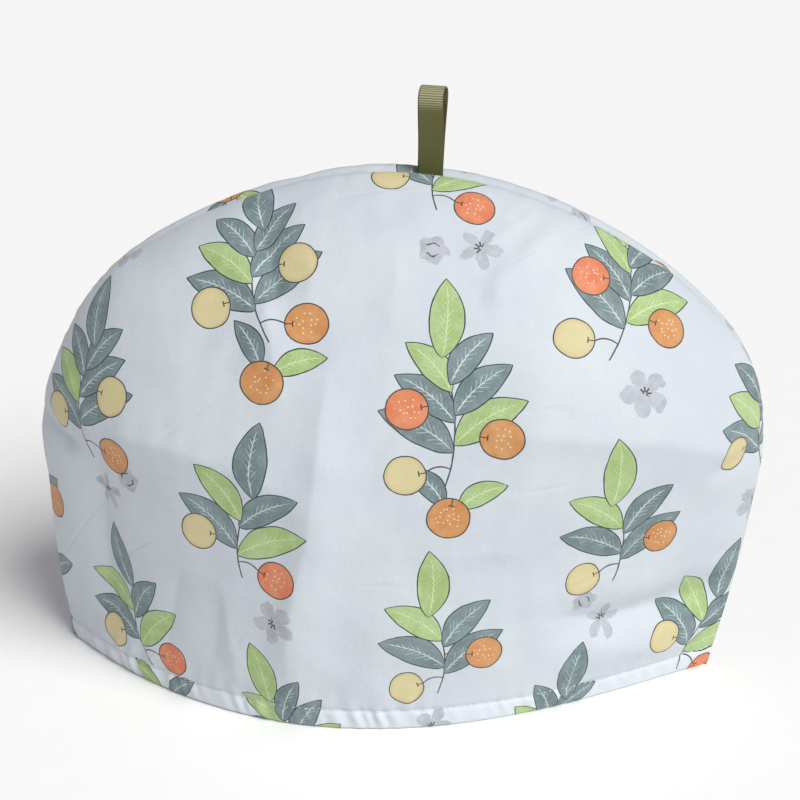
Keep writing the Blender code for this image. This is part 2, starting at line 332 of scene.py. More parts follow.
def creased(side, cloth):
    """A face's points moved by the creases, which die away into the seam and the hem."""
    x, z = cloth.points[..., 0], cloth.points[..., 2]
    hold = (1 - np.exp(-((cloth.from_seam / CREASE_HOLD) ** 2))) * (1 - np.exp(-((z / CREASE_HOLD_HEM) ** 2)))
    lift = crease_lift(FRONT_CREASES if side < 0 else BACK_CREASES, x, z) * hold
    return cloth.points + cloth.outward * lift[..., None]


def fine_relief(side, cloth):
    """How far the outer cloth stands off its creased form: seam and hem puckers, and its soft unevenness."""
    x, z = cloth.points[..., 0], cloth.points[..., 2]
    seed = 0.7 if side < 0 else 3.9
    clear = 1 - np.exp(-((cloth.from_seam / 0.007) ** 2))
    relief = np.zeros_like(x)

    strength = 0.55 + 0.45 * uneven(cloth.along_rim, 0.140, seed + 2)
    ripple = uneven(cloth.along_rim, 0.0085, seed) * strength
    reach = 0.010 + 0.004 * uneven(cloth.along_rim, 0.031, seed + 1)
    off_seam = 1 - np.exp(-((cloth.from_seam / 0.002) ** 2))
    relief += RIM_PUCKER * ripple * np.exp(-((cloth.from_seam / reach) ** 2)) * off_seam

    slant = x + 0.35 * z
    band = np.exp(-(((z - HEM_BAND) / 0.0010) ** 2))
    pull = (0.6 + 0.4 * uneven(x, 0.083, seed)) * (1.15 - 0.55 * np.tanh(x / 0.08))
    relief -= HEM_GROOVE * band * (0.8 + 0.2 * uneven(x, STITCH_PITCH * 2, seed))
    inside = 1 / (1 + np.exp((z - HEM_BAND) / 0.0006))
    relief += HEM_SWELL * inside * np.sin(np.clip(z / HEM_BAND, 0, 1) * math.pi)
    on_hem = np.exp(-(((z - HEM_BAND * 0.62) / 0.0050) ** 2))
    above_hem = np.exp(-(((z - HEM_BAND - 0.005) / 0.0060) ** 2))
    relief += HEM_PUCKER * pull * uneven(slant, 0.0074, seed) * on_hem
    relief += HEM_RIPPLE * pull * uneven(x - 0.2 * z, 0.0118, seed + 4) * above_hem

    sag = uneven(x + 0.4 * z, 0.061, seed) * uneven(z - 0.3 * x, 0.074, seed + 5)
    ruffle = uneven(x - 0.7 * z, 0.023, seed + 6) * uneven(z + 0.5 * x, 0.037, seed + 8)
    relief += (SAG * sag + RUFFLE * ruffle) * clear * np.minimum(1, z / 0.03)
    return relief


def resting_shift():
    """How far the model's source moves the cosy along Y to centre its footprint."""
    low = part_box("front_panel")[0]
    turns = warp_lines(SOURCE_COLUMNS)[1]
    front = cloth_face(-1, 0, turns, weft_lines(SOURCE_ROWS)).points
    return Vector((0, low.y - front[..., 1].min(), 0))


def row_blend(knots, at):
    """The weights that carry values at knots smoothly to other places."""
    return np.stack([smooth_through(knots, one, at) for one in np.eye(len(knots))], axis=1)


def deselect_all():
    for thing in bpy.context.selected_objects:
        thing.select_set(False)


def make_active(thing):
    deselect_all()
    thing.select_set(True)
    bpy.context.view_layer.objects.active = thing


def new_object(name, vertices, faces):
    """A smooth-shaded piece from its points and faces."""
    mesh = bpy.data.meshes.new(name)
    mesh.from_pydata(vertices.tolist(), [], faces)
    mesh.shade_smooth()
    obj = bpy.data.objects.new(name, mesh)
    bpy.context.collection.objects.link(obj)
    return obj


def turn_faces_outward(obj):
    make_active(obj)
    bpy.ops.object.mode_set(mode="EDIT")
    bpy.ops.mesh.select_all(action="SELECT")
    bpy.ops.mesh.normals_make_consistent(inside=False)
    bpy.ops.object.mode_set(mode="OBJECT")


def corner_points(mesh):
    """The point at each corner of a mesh's faces."""
    points = np.empty(len(mesh.loops), dtype=int)
    mesh.loops.foreach_get("vertex_index", points)
    return points


def lay_map(mesh, laid):
    """Gives each corner of a sheet its place on the flat cloth, as the map that the materials read."""
    places = laid[corner_points(mesh)].astype(np.float32)
    mesh.uv_layers.new(name="cloth").uv.foreach_set("vector", places.ravel())


def merge_crown(corners, crown):
    """The corners of one face with all those past the crown's first point taken as that point."""
    return list(dict.fromkeys(min(corner, crown) for corner in corners))


def grid_faces(rows, columns):
    index = np.arange(rows * columns).reshape(rows, columns)
    return np.stack([index[:-1, :-1], index[:-1, 1:], index[1:, 1:], index[1:, :-1]], axis=2).reshape(-1, 4)


def lay_flat(side):
    """The panel's cloth laid flat, in metres: for each point of a coarse grid, its place across and up the cut
    cloth, from the middle of the hem."""
    lines, turns = warp_lines(FLAT_COLUMNS)
    climbs = weft_lines(FLAT_ROWS)
    points = cloth_face(side, 0, turns, climbs).points
    rows, columns = points.shape[:2]
    crown = (rows - 1) * columns
    faces = [merge_crown(face, crown) for face in grid_faces(rows, columns).tolist()]
    mesh = bpy.data.meshes.new("flat_pattern")
    mesh.from_pydata(points.reshape(-1, 3)[: crown + 1].tolist(), [], faces)
    mesh.uv_layers.new(name="flat")
    pattern = bpy.data.objects.new("flat_pattern", mesh)
    bpy.context.collection.objects.link(pattern)
    make_active(pattern)
    bpy.ops.object.mode_set(mode="EDIT")
    bpy.ops.mesh.select_all(action="SELECT")
    bpy.ops.uv.unwrap(method="MINIMUM_STRETCH", margin=0)
    bpy.ops.object.mode_set(mode="OBJECT")
    found = np.empty(len(mesh.loops) * 2)
    mesh.uv_layers.active.uv.foreach_get("vector", found)
    flat = np.zeros((crown + 1, 2))
    flat[corner_points(mesh)] = found.reshape(-1, 2)
    flat = np.vstack([flat, np.repeat(flat[-1:], columns - 1, axis=0)]).reshape(rows, columns, 2)
    bpy.data.objects.remove(pattern)
    bpy.data.meshes.remove(mesh)

    real = np.linalg.norm(np.diff(points, axis=0), axis=2)
    laid = np.linalg.norm(np.diff(flat, axis=0), axis=2)
    flat *= np.median((real / np.maximum(laid, 1e-9))[real > 0.0003])
    middle = flat[0, columns // 2]
    upward = flat[-1, 0] - middle
    upward = upward / np.linalg.norm(upward)
    rightward = np.array([upward[1], -upward[0]])
    laid_out = np.stack([(flat - middle) @ rightward, (flat - middle) @ upward], axis=2)
    if laid_out[0, -1, 0] < laid_out[0, 0, 0]:
        laid_out[..., 0] *= -1
    if side > 0:
        laid_out[..., 0] *= -1
    return lines, climbs, laid_out


Panel = namedtuple("Panel", "obj points outward")


def cloth_panel(name, side, shift, layout):
    """A padded panel as one closed shell: its creased outer face, its inner face, and the edges between them."""
    lines, turns = warp_lines(COLUMNS)
    climbs = weft_lines(ROWS, HEM_ROWS)
    cloth = cloth_face(side, 0, turns, climbs)
    outer = creased(side, cloth) + cloth.outward * fine_relief(side, cloth)[..., None]
    tucked = np.clip(1 - cloth.points[..., 2:3] / HEM_ROUND, 0, 1) ** 2 * HEM_ROUND * 0.8
    outer -= cloth.outward * tucked
    inner_climbs = climbs[:-1:LINING_STEP].tolist() + [climbs[-1]]
    inner = creased(side, cloth_face(side, WALL, turns[::LINING_STEP], inner_climbs))

    flat_lines, flat_climbs, flat = lay_flat(side)
    by_row, by_column = row_blend(flat_climbs, climbs), row_blend(flat_lines, lines)
    flat = np.einsum("ij,jkc,lk->ilc", by_row, flat, by_column)

    rows, columns = outer.shape[:2]
    inner_rows, inner_columns = inner.shape[:2]
    inner_row_places = list(range(0, rows - 1, LINING_STEP)) + [rows - 1]
    outer_crown = (rows - 1) * columns
    start = outer_crown + 1
    inner_crown = (inner_rows - 1) * inner_columns
    vertices = np.vstack([outer.reshape(-1, 3)[: outer_crown + 1], inner.reshape(-1, 3)[: inner_crown + 1]])
    vertices += np.array(shift)

    faces = [merge_crown(face, outer_crown) for face in grid_faces(rows, columns).tolist()]
    lining = [merge_crown(face, inner_crown) for face in grid_faces(inner_rows, inner_columns).tolist()]
    faces += [[start + corner for corner in reversed(face)] for face in lining]
    outer_at = lambda row, column: min(row * columns + column, outer_crown)
    inner_at = lambda row, column: start + min(row * inner_columns + column, inner_crown)
    for step in range(inner_columns - 1):
        first = step * LINING_STEP
        edge = [outer_at(0, column) for column in range(first, first + LINING_STEP + 1)]
        faces.append([*reversed(edge), inner_at(0, step), inner_at(0, step + 1)])
    for step in range(inner_rows - 1):
        low, high = inner_row_places[step], inner_row_places[step + 1]
        for column, inner_column, turn_over in ((0, 0, False), (columns - 1, inner_columns - 1, True)):
            edge = [outer_at(row, column) for row in range(low, high + 1)]
            ring = [*edge, inner_at(step + 1, inner_column), inner_at(step, inner_column)]
            faces.append(list(reversed(ring)) if turn_over else ring)
    if side > 0:
        faces = [list(reversed(face)) for face in faces]

    obj = new_object(name, vertices, faces)
    inner_flat = flat[inner_row_places][:, ::LINING_STEP].reshape(-1, 2)[: inner_crown + 1]
    laid = np.vstack([flat.reshape(-1, 2)[: outer_crown + 1], inner_flat])
    lay_map(obj.data, laid)
    print_cloth(obj.data, laid, layout, (rows - 1) * (columns - 1))
    return Panel(obj, outer + np.array(shift), cloth.outward)


def ribbon_path():
    """The ribbon's middle line from its front end over to its back end: y, height above the feet, and length run."""
    foot = (LOOP_FOOT_GAP + RIBBON_THICKNESS) / 2
    bend = (LOOP_GAP + RIBBON_THICKNESS) / 2
    straight = LOOP_HEIGHT - RIBBON_THICKNESS / 2 - bend
    rise = np.linspace(0, 1, RISE_STEPS)
    spread = foot + (bend - foot) * rise**2 * (3 - 2 * rise)
    turn = np.linspace(0, math.pi, BEND_STEPS)[1:-1]
    y = np.concatenate([[-foot], -spread, -bend * np.cos(turn), spread[::-1], [foot]])
    over_bend = straight + bend * np.sin(turn)
    z = np.concatenate([[-RIBBON_TUCK], straight * rise, over_bend, straight * rise[::-1], [-RIBBON_TUCK]])
    run = np.concatenate([[0], np.cumsum(np.hypot(np.diff(y), np.diff(z)))])
    even = np.linspace(0, run[-1], 1 + int(round(run[-1] / RIB_PITCH * STEPS_PER_RIB)))
    return np.interp(even, run, y), np.interp(even, run, z), even


def grosgrain_loop(name, seat):
    """The hanging loop, with a rib across it every RIB_PITCH and a smooth selvedge down each edge."""
    y, z, run = ribbon_path()
    slope = np.stack([np.gradient(y), np.gradient(z)], axis=1)
    slope = slope / np.linalg.norm(slope, axis=1, keepdims=True)
    across = np.linspace(-1, 1, RIBBON_STRANDS)
    across = np.sign(across) * np.abs(across) ** 0.8
    edge_fade = np.clip((1 - np.abs(across)) / SELVEDGE_SHARE, 0, 1)
    ribs = RIB_HEIGHT * np.cos(2 * math.pi * run / RIB_PITCH)[:, None] * edge_fade
    half = RIBBON_THICKNESS / 2 * (1 - EDGE_THINNING * np.clip((np.abs(across) - 0.9) / 0.1, 0, 1) ** 2)
    faces_out = []
    for way in (1, -1):
        off = way * (half[None, :] + ribs)
        ply_y = y[:, None] + off * -slope[:, 1:2]
        ply_z = z[:, None] + off * slope[:, 0:1]
        share = np.clip(ply_z / LOOP_HEIGHT, 0, 1)
        twist = LOOP_TWIST * share
        wide = RIBBON_WIDTH / 2 * across[None, :] * (1 + 0.006 * np.sin(run / 0.004))[:, None]
        faces_out.append(
            np.stack(
                [
                    RIBBON_X + LOOP_LEAN * share + wide * np.cos(twist) - ply_y * np.sin(twist),
                    wide * np.sin(twist) + ply_y * np.cos(twist),
                    ply_z,
                ],
                axis=2,
            )
        )
    rows, columns = faces_out[0].shape[:2]
    count = rows * columns
    vertices = np.vstack([face.reshape(-1, 3) for face in faces_out]) + np.array(seat)
    grid = grid_faces(rows, columns)
    index = np.arange(count).reshape(rows, columns)
    rim = np.concatenate([index[0, :-1], index[:-1, -1], index[-1, :0:-1], index[:0:-1, 0]])
    sides = np.stack([rim, np.roll(rim, -1), np.roll(rim, -1) + count, rim + count], axis=1)
    faces = np.vstack([grid, grid[:, ::-1] + count, sides[:, ::-1]])
    obj = new_object(name, vertices, faces.tolist())
    along = np.tile(np.repeat(run, columns), 2)
    sideways = np.tile(across * RIBBON_WIDTH / 2, rows)
    sideways = np.concatenate([sideways, sideways + INNER_PLY])
    lay_map(obj.data, np.stack([sideways, along], axis=1))
    turn_faces_outward(obj)
    return obj


def thread_stitch():
    """One stitch lying along X: a short plump length of thread whose ends dive into the cloth."""
    deselect_all()
    bpy.ops.mesh.primitive_uv_sphere_add(segments=8, ring_count=6, radius=0.5, rotation=(0, math.pi / 2, 0))
    stitch = bpy.context.object
    bpy.ops.object.transform_apply(location=True, rotation=True, scale=True)
    bpy.ops.object.mode_set(mode="EDIT")
    bpy.ops.mesh.select_all(action="SELECT")
    bpy.ops.transform.resize(value=(STITCH_LENGTH, THREAD, THREAD))
    bpy.ops.object.mode_set(mode="OBJECT")
    vertices = np.array([vertex.co for vertex in stitch.data.vertices])
    faces = [list(face.vertices) for face in stitch.data.polygons]
    bpy.data.objects.remove(stitch)
    bent = (2 * np.abs(vertices[:, 0]) / STITCH_LENGTH) ** 2
    vertices[:, 2] -= bent * THREAD * 0.9
    return vertices, faces


def hem_stitches(name, panel):
    """The row of stitches that holds the turned-up hem of one panel."""
    row = int(np.argmin(np.abs(np.array(HEM_ROWS) - HEM_BAND)))
    line, outward = panel.points[row], unit(panel.outward[row] * np.array((1, 1, 0)))
    run = np.concatenate([[0], np.cumsum(np.linalg.norm(np.diff(line, axis=0), axis=1))])
    places = np.arange(STITCH_PITCH, run[-1] - STITCH_PITCH, STITCH_PITCH)
    vertices, faces = thread_stitch()
    all_vertices, all_faces = [], []
    for number, place in enumerate(places):
        at, ahead, behind = (
            np.array([np.interp(place + step, run, line[:, axis]) for axis in range(3)])
            for step in (0, 0.001, -0.001)
        )
        out = np.array([np.interp(place, run, outward[:, axis]) for axis in range(3)])
        along = unit(ahead - behind)
        upward = np.cross(out, along)
        wobble = 0.00012 * math.sin(number * 2.1) + 0.00008 * math.sin(number * 0.37)
        frame_of_stitch = np.stack([along, upward, out])
        placed = vertices @ frame_of_stitch + at + out * THREAD * 0.35 + np.array([0, 0, wobble])
        all_faces += [[corner + number * len(vertices) for corner in face] for face in faces]
        all_vertices.append(placed)
    obj = new_object(name, np.vstack(all_vertices), all_faces)
    turn_faces_outward(obj)
    return obj


# The print, in millimetres on the cloth laid flat: a plain half-drop repeat of leafy sprigs with round fruits, and a
# blossom or a small cluster between them. A part is placed from its sprig's middle, with y up the cloth. A bow is how
# far a leaf's or stem's middle stands to the left of its straight line, as a share of its length.
Leaf = namedtuple("Leaf", "x y length toward half_width bow tone")
Fruit = namedtuple("Fruit", "x y radius stalk tone")
Blossom = namedtuple("Blossom", "x y radius turned petal")
Stem = namedtuple("Stem", "x0 y0 x1 y1 bow")
Place = namedtuple("Place", "sprig x y turn mirrored")
SAGE, LIME = 0.0, 1.0
YELLOW, ORANGE, CORAL = 0.0, 0.5, 1.0
OPEN, STAR, BUD = 0.0, 0.5, 1.0
STEM_HALF = 0.30
LEAF_BASE, LEAF_TIP, LEAF_FULLNESS = 0.80, 0.92, 3.30  # how a leaf widens from its base and narrows to its tip
LEAF_LENGTH, LEAF_HALF, TIP_LENGTH = 38, 7.8, 36
LOWEST_PAIR = 0.30  # the share of a stem below its first leaves
LEAF_SPREAD, FRUIT_SPREAD = 58, 98  # how far a leaf and a fruit's stalk stand off the stem, in degrees
STALK, FRUIT_RADIUS = 11, 9.4


def sprig(height, bow, pairs, tones, fruits):
    """A bowed stem with leaves in pairs, one more at its tip, and fruits on short stalks. A fruit has the share of
    the stem where it grows, its side and its tone."""
    middle = (height + TIP_LENGTH) / 2

    def on_stem(share):
        return -4 * bow * height * share * (1 - share), height * share - middle

    parts = [Stem(0, -middle, 0, height - middle, bow)]
    for pair in range(pairs):
        for side in (-1, 1):
            x, y = on_stem(LOWEST_PAIR + (1 - LOWEST_PAIR) * (pair + 0.12 * side) / pairs)
            toward = 90 - side * (LEAF_SPREAD - 9 * pair)
            tone = tones[(2 * pair + (side > 0)) % len(tones)]
            parts.append(Leaf(x, y, LEAF_LENGTH - 4 * pair, toward, LEAF_HALF - 0.7 * pair, side * 0.08, tone))
    parts.append(Leaf(0, height - middle, TIP_LENGTH, 90 + 60 * bow, LEAF_HALF, bow / 2, tones[-1]))
    for share, side, tone in fruits:
        x, y = on_stem(share)
        toward = 90 - side * FRUIT_SPREAD
        along, up = math.cos(math.radians(toward)), math.sin(math.radians(toward))
        reach = STALK + FRUIT_RADIUS
        parts.append(Stem(x, y, x + STALK * along, y + STALK * up, side * 0.16))
        parts.append(Fruit(x + reach * along, y + reach * up, FRUIT_RADIUS, toward + 180, tone))
    return tuple(parts)


SPRIGS = (
    sprig(56, 0.10, 3, (SAGE, SAGE, LIME, SAGE), ((0.16, 1, ORANGE), (0.40, -1, YELLOW), (0.68, 1, YELLOW))),
    sprig(44, -0.12, 2, (LIME, SAGE, SAGE), ((0.18, -1, CORAL), (0.46, 1, YELLOW))),
    sprig(60, -0.08, 3, (SAGE, LIME, SAGE, SAGE, LIME), ((0.14, -1, YELLOW), (0.42, 1, ORANGE), (0.66, -1, CORAL))),
    sprig(46, 0.13, 2, (SAGE, SAGE, SAGE, LIME), ((0.20, 1, YELLOW), (0.50, -1, ORANGE))),
)
FILLERS = (
    (Blossom(0, 0, 12.5, 20, OPEN),),
    (Leaf(3, 3, 25, 38, 5.6, 0.08, LIME), Leaf(-3, 3, 25, 142, 5.6, -0.08, SAGE), Fruit(0, -3, 10, 90, ORANGE)),
    (Blossom(-9, 0, 11.5, 60, STAR), Blossom(12, 4, 8, 200, BUD)),
)
ACROSS, DOWN = 84, 122  # the repeat's step from column to column and from sprig to sprig
FILLER_ASIDE, FILLER_BELOW = 6, 61
TURNS = (-13, 10, 4, -8, 15)
REPEAT_COLUMNS, REPEAT_ROWS = 7, 4


def half_drop(left, foot):
    """The repeat over one panel, from its lowest sprig at the left: every second column stands half a step higher."""
    places = []
    for column in range(REPEAT_COLUMNS):
        for row in range(REPEAT_ROWS):
            x, y = left + column * ACROSS, foot + (row + column % 2 / 2) * DOWN
            turn, mirrored = TURNS[(2 * column + row) % len(TURNS)], (column + row) % 2 == 1
            places.append(Place(SPRIGS[(column + 3 * row) % len(SPRIGS)], x, y, turn, mirrored))
            filler = FILLERS[(column + row) % len(FILLERS)]
            places.append(Place(filler, x + FILLER_ASIDE, y - FILLER_BELOW, -2 * turn, mirrored))
    return tuple(places)


FRONT_LAYOUT = half_drop(-222, 2)
BACK_LAYOUT = half_drop(-262, -34)
SLOTS = {"leaf": 3, "fruit": 2, "blossom": 1, "stem": 5}  # how many of a kind one face can carry
AWAY = 100.0  # where a spot with nothing printed stands from its motif
PRINT_MARGIN = 1.6  # a face this near a motif carries it
Motif = namedtuple("Motif", "kind x y turn size half bow tone seed")


def motifs_of(layout):
    """Every leaf, fruit, blossom and stem of a layout, placed on the flat cloth."""
    found = []
    for place in layout:
        turn, hand = math.radians(place.turn), -1 if place.mirrored else 1
        cos, sin = math.cos(turn), math.sin(turn)

        def lay(x, y):
            return place.x + hand * x * cos - y * sin, place.y + hand * x * sin + y * cos

        def swing(degrees):
            return turn + (math.radians(degrees) if hand > 0 else math.pi - math.radians(degrees))

        for part in place.sprig:
            seed = (len(found) * 0.618) % 1
            if isinstance(part, Leaf):
                x, y = lay(part.x, part.y)
                shape = (x, y, swing(part.toward), part.length, part.half_width, hand * part.bow, part.tone)
                found.append(Motif("leaf", *shape, seed))
            elif isinstance(part, Stem):
                (x, y), (x1, y1) = lay(part.x0, part.y0), lay(part.x1, part.y1)
                shape = (x, y, math.atan2(y1 - y, x1 - x), math.hypot(x1 - x, y1 - y), STEM_HALF, hand * part.bow, 0)
                found.append(Motif("stem", *shape, seed))
            elif isinstance(part, Fruit):
                x, y = lay(part.x, part.y)
                found.append(Motif("fruit", x, y, swing(part.stalk), part.radius, 0, 0, part.tone, seed))
            else:
                x, y = lay(part.x, part.y)
                found.append(Motif("blossom", x, y, swing(part.turned), part.radius, 0, 0, part.petal, seed))
    return found


def seen_from(motif, spots):
    """Spots on the flat cloth as seen from a motif: how far along it, and how far to its left with its bow taken
    out. The motif's fields may be numbers, or arrays with one value for each spot."""
    cos, sin = np.cos(motif.turn), np.sin(motif.turn)
    x, y = spots[:, 0] - motif.x, spots[:, 1] - motif.y
    along, aside = x * cos + y * sin, y * cos - x * sin
    share = np.clip(along / motif.size, -0.1, 1.1)
    return along, aside - motif.bow * motif.size * 4 * share * (1 - share)


def touches(motif, spots, margin):
    """Which spots lie on a motif or within the margin round it."""
    along, aside = seen_from(motif, spots)
    if motif.kind in ("fruit", "blossom"):
        return np.hypot(along, aside) < motif.size + margin
    share = np.clip(along / motif.size, 0, 1)
    wide = motif.half if motif.kind == "stem" else motif.half * leaf_profile(share)
    return (along > -margin) & (along < motif.size + margin) & (np.abs(aside) < wide + margin)


def leaf_profile(share):
    """The half width of a leaf along its length, 1 at its widest."""
    return LEAF_FULLNESS * share**LEAF_BASE * (1 - share) ** LEAF_TIP


def print_cloth(mesh, flat, layout, printed_faces):
    """Gives each corner of the cloth its place on the motifs printed there, for the printed_cotton material to draw
    them. A face takes as many motifs of each kind as SLOTS allows, the later ones over the earlier ones."""
    corners = len(mesh.loops)
    starts = np.empty(len(mesh.polygons), dtype=int)
    mesh.polygons.foreach_get("loop_start", starts)
    sizes = np.diff(np.append(starts, corners))
    corner_faces = np.repeat(np.arange(len(sizes)), sizes)
    spots = flat[corner_points(mesh)] * 1000
    middles = np.stack([np.add.reduceat(spots[:, axis], starts) / sizes for axis in (0, 1)], axis=1)
    middles[printed_faces:] = 1e6
    motifs = motifs_of(layout)
    for kind, count in SLOTS.items():
        chosen = np.full((count, len(sizes)), -1)
        taken = np.zeros(len(sizes), dtype=int)
        for number, motif in enumerate(motifs):
            if motif.kind != kind:
                continue
            faces = np.flatnonzero(touches(motif, middles, PRINT_MARGIN))
            faces = faces[taken[faces] < count]
            chosen[taken[faces], faces] = number
            taken[faces] += 1
        for slot in range(count):
            numbers = chosen[slot][corner_faces]
            there = numbers >= 0
            place = np.full((corners, 3), AWAY)
            place[:, 2] = 1.0
            look = np.zeros((corners, 4))
            if there.any():
                columns = [np.array([getattr(motif, field) for motif in motifs]) for field in Motif._fields[1:]]
                picked = Motif(kind, *(column[numbers[there]] for column in columns))
                along, aside = seen_from(picked, spots[there])
                place[there] = np.stack([along, aside, picked.size], axis=1)
                look[there] = np.stack([picked.half, picked.tone, picked.seed, np.ones(len(along))], axis=1)
            at = mesh.attributes.new(f"{kind}_{slot + 1}_place", "FLOAT_VECTOR", "CORNER")
            at.data.foreach_set("vector", place.astype(np.float32).ravel())
            how = mesh.attributes.new(f"{kind}_{slot + 1}_look", "FLOAT_COLOR", "CORNER")
            how.data.foreach_set("color", look.astype(np.float32).ravel())


class Loom:
    """Lays shader nodes in one tree and joins them."""

    def __init__(self, tree):
        self.tree = tree

    def node(self, kind, **settings):
        made = self.tree.nodes.new(kind)
        for name, value in settings.items():
            setattr(made, name, value)
        return made

    def feed(self, socket, value):
        if isinstance(value, bpy.types.NodeSocket):
            self.tree.links.new(value, socket)
        elif isinstance(value, tuple) and len(value) == 3 and socket.type == "RGBA":
            socket.default_value = (*value, 1)
        else:
            socket.default_value = value

    def reckon(self, operation, *values):
        made = self.node("ShaderNodeMath", operation=operation)
        for socket, value in zip(made.inputs, values):
            self.feed(socket, value)
        return made.outputs[0]

    def plus(self, first, second):
        return self.reckon("ADD", first, second)

    def minus(self, first, second):
        return self.reckon("SUBTRACT", first, second)

    def times(self, first, second):
        return self.reckon("MULTIPLY", first, second)

    def unsigned(self, value):
        return self.reckon("ABSOLUTE", value)

    def hypotenuse(self, first, second):
        return self.reckon("SQRT", self.plus(self.reckon("POWER", first, 2.0), self.reckon("POWER", second, 2.0)))

    def rise(self, value, low, high):
        """0 below low, 1 above high, and a smooth rise between."""
        made = self.node("ShaderNodeMapRange", interpolation_type="SMOOTHSTEP")
        self.feed(made.inputs["Value"], value)
        self.feed(made.inputs["From Min"], low)
        self.feed(made.inputs["From Max"], high)
        return made.outputs["Result"]

    def fall(self, value, low, high):
        return self.minus(1.0, self.rise(value, low, high))

    def mix(self, share, under, over, blend="MIX"):
        made = self.node("ShaderNodeMix", data_type="RGBA", blend_type=blend)
        self.feed(made.inputs[0], share)
        self.feed(made.inputs[6], under)
        self.feed(made.inputs[7], over)
        return made.outputs[2]

    def split(self, vector):
        made = self.node("ShaderNodeSeparateXYZ")
        self.feed(made.inputs[0], vector)
        return made.outputs[0], made.outputs[1], made.outputs[2]

    def join(self, x, y, z):
        made = self.node("ShaderNodeCombineXYZ")
        for socket, value in zip(made.inputs, (x, y, z)):
            self.feed(socket, value)
        return made.outputs[0]

    def cloud(self, place, scale, detail=2.0, roughness=0.5):
        made = self.node("ShaderNodeTexNoise")
        self.feed(made.inputs["Vector"], place)
        self.feed(made.inputs["Scale"], scale)
        self.feed(made.inputs["Detail"], detail)
        self.feed(made.inputs["Roughness"], roughness)
        return made.outputs["Fac"]

    def relief(self, height, distance, strength, under=None):
        made = self.node("ShaderNodeBump")
        self.feed(made.inputs["Height"], height)
        self.feed(made.inputs["Distance"], distance)
        self.feed(made.inputs["Strength"], strength)
        if under:
            self.feed(made.inputs["Normal"], under)
        return made.outputs[0]

    def chance(self, value):
        made = self.node("ShaderNodeTexWhiteNoise", noise_dimensions="1D")
        self.feed(made.inputs["W"], value)
        return made.outputs["Value"]


# Inks, as reflectances
SAGE_DARK, SAGE_PALE = (0.125, 0.180, 0.188), (0.250, 0.325, 0.340)
LIME_DARK, LIME_PALE = (0.310, 0.430, 0.155), (0.450, 0.595, 0.320)
SAGE_VEIN, LIME_VEIN = (0.64, 0.73, 0.72), (0.60, 0.72, 0.42)
YELLOW_INK, ORANGE_INK, CORAL_INK = (0.600, 0.540, 0.300), (0.550, 0.240, 0.080), (0.660, 0.180, 0.085)
OUTLINE_INK = (0.040, 0.056, 0.060)
STEM_INK = (0.070, 0.070, 0.085)
PETAL_DARK, PETAL_PALE = (0.385, 0.405, 0.45), (0.475, 0.50, 0.55)
DOT_INK, FRUIT_WASH, FRUIT_RIM = (0.80, 0.66, 0.44), (0.76, 0.60, 0.36), (0.36, 0.14, 0.05)
SOFT_EDGE = 0.06


def motif_group(name, draw):
    """A node group that draws one motif from its place and look."""
    tree = bpy.data.node_groups.new(name, "ShaderNodeTree")
    tree.interface.new_socket("place", in_out="INPUT", socket_type="NodeSocketVector")
    tree.interface.new_socket("look", in_out="INPUT", socket_type="NodeSocketColor")
    tree.interface.new_socket("colour", in_out="OUTPUT", socket_type="NodeSocketColor")
    tree.interface.new_socket("cover", in_out="OUTPUT", socket_type="NodeSocketFloat")
    loom = Loom(tree)
    given, drawn = tree.nodes.new("NodeGroupInput"), tree.nodes.new("NodeGroupOutput")
    colour, cover = draw(loom, *loom.split(given.outputs["place"]), *loom.split(given.outputs["look"]))
    loom.feed(drawn.inputs["colour"], colour)
    loom.feed(drawn.inputs["cover"], cover)
    return tree


